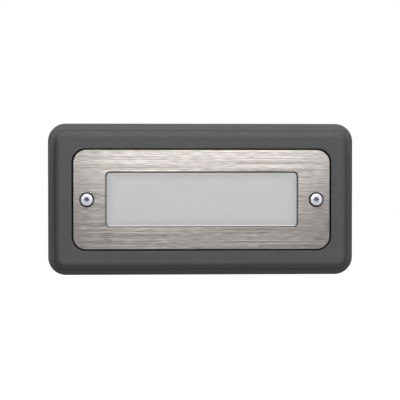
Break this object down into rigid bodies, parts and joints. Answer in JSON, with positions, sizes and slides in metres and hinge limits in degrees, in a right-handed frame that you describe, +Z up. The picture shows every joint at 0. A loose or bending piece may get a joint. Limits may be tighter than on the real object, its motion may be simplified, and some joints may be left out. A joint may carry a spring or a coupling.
{
  "type": "step light",
  "caption": "Recessed rectangular step light: dark stepped frame, brushed steel faceplate with a long frosted lens, and a sealed housing for a wall or riser.",
  "frame": {"origin": "middle of the frame's back face, on the face of the wall", "axes": "+X to the right seen from the front, +Y into the wall, +Z up"},
  "size_m": [0.23, 0.1038, 0.114],
  "materials": {
    "frame_coating": "fine satin powder coat, dark grey",
    "faceplate_steel": "fine horizontal brush, warm grey",
    "lens_frosted": "frosted, pale grey, unlit",
    "screw_steel": "polished stainless, slightly blue",
    "seal_rubber": "matt black",
    "gasket_foam": "closed-cell foam, dark grey",
    "gasket_silicone": "grey silicone",
    "housing_cast": "bare casting, fine grain",
    "sheet_aluminium": "mill finish",
    "zinc_steel": "zinc plated",
    "brass": "turned brass",
    "board_white": "white solder mask",
    "led_yellow": "phosphor over white package",
    "reflector_white": "white moulding",
    "pad_grey": "soft thermal pad",
    "nylon_white": "natural nylon",
    "nylon_black": "black moulding",
    "driver_plastic": "pale grey moulding",
    "board_green": "green circuit board",
    "ferrite": "dark ferrite and yellow tape",
    "capacitor_sleeve": "dark blue sleeve",
    "wire_brown": "brown insulation",
    "wire_blue": "blue insulation",
    "wire_earth": "green insulation with a yellow stripe",
    "wire_red": "red insulation",
    "wire_black": "black insulation"
  },
  "bodies": {
    "housing_assembly": {"trim_frame": "frame_coating", "wall_gasket": "gasket_foam", "frame_screws": "zinc_steel", "faceplate_gasket": "gasket_silicone", "housing": "housing_cast", "housing_gasket": "gasket_silicone", "threaded_inserts": "brass", "gear_tray": "sheet_aluminium", "tray_screws": "zinc_steel", "thermal_pad": "pad_grey", "led_board": "board_white", "leds": "led_yellow", "reflector": "reflector_white", "board_screws": "zinc_steel", "board_connector": "nylon_white", "tray_grommet": "seal_rubber", "driver_case": "driver_plastic", "driver_lid": "driver_plastic", "driver_circuit_board": "board_green", "driver_transformer": "ferrite", "driver_capacitors": "capacitor_sleeve", "driver_screws": "zinc_steel", "terminal_block": "nylon_white", "terminal_clamps": "brass", "terminal_screws": "zinc_steel", "terminal_fixing_screws": "zinc_steel", "earth_ring": "brass", "earth_screw": "brass", "line_wire": "wire_brown", "neutral_wire": "wire_blue", "earth_wire": "wire_earth", "led_positive_wire": "wire_red", "led_negative_wire": "wire_black", "entry_washers": "seal_rubber", "entry_locknuts": "nylon_black", "gland_body": "nylon_black", "gland_seal": "seal_rubber", "blanking_plug": "nylon_black"},
    "faceplate_assembly": {"faceplate": "faceplate_steel", "lens": "lens_frosted", "lens_gasket": "gasket_silicone", "lens_retainer": "sheet_aluminium", "retainer_studs": "screw_steel", "retainer_nuts": "zinc_steel", "captive_washers": "nylon_white"},
    "left_screw_seal": {"screw_seal_left": "seal_rubber"},
    "left_screw": {"faceplate_screw_left": "screw_steel"},
    "right_screw_seal": {"screw_seal_right": "seal_rubber"},
    "right_screw": {"faceplate_screw_right": "screw_steel"},
    "gland_cap": {"gland_nut": "nylon_black"}
  },
  "joints": [
    {"name": "faceplate_off", "type": "slide", "parent": "housing_assembly", "child": "faceplate_assembly", "axis": [0, -1, 0], "range_m": [0, 0.06]},
    {"name": "left_screw_travel", "type": "slide", "parent": "faceplate_assembly", "child": "left_screw_seal", "axis": [0, -1, 0], "range_m": [0, 0.006]},
    {"name": "left_screw_turn", "type": "hinge", "parent": "left_screw_seal", "child": "left_screw", "pos_m": [-0.0856, -0.017, 0], "axis": [0, -1, 0], "range_deg": [0, 2700]},
    {"name": "right_screw_travel", "type": "slide", "parent": "faceplate_assembly", "child": "right_screw_seal", "axis": [0, -1, 0], "range_m": [0, 0.006]},
    {"name": "right_screw_turn", "type": "hinge", "parent": "right_screw_seal", "child": "right_screw", "pos_m": [0.0856, -0.017, 0], "axis": [0, -1, 0], "range_deg": [0, 2700]},
    {"name": "gland_nut_turn", "type": "hinge", "parent": "housing_assembly", "child": "gland_cap", "pos_m": [-0.062, 0.075, 0], "axis": [0, 1, 0], "range_deg": [0, 720]}
  ],
  "couplings": [
    {"joint": "left_screw_turn", "follows": "left_screw_travel", "rad_per_m": 7854},
    {"joint": "right_screw_turn", "follows": "right_screw_travel", "rad_per_m": 7854}
  ]
}
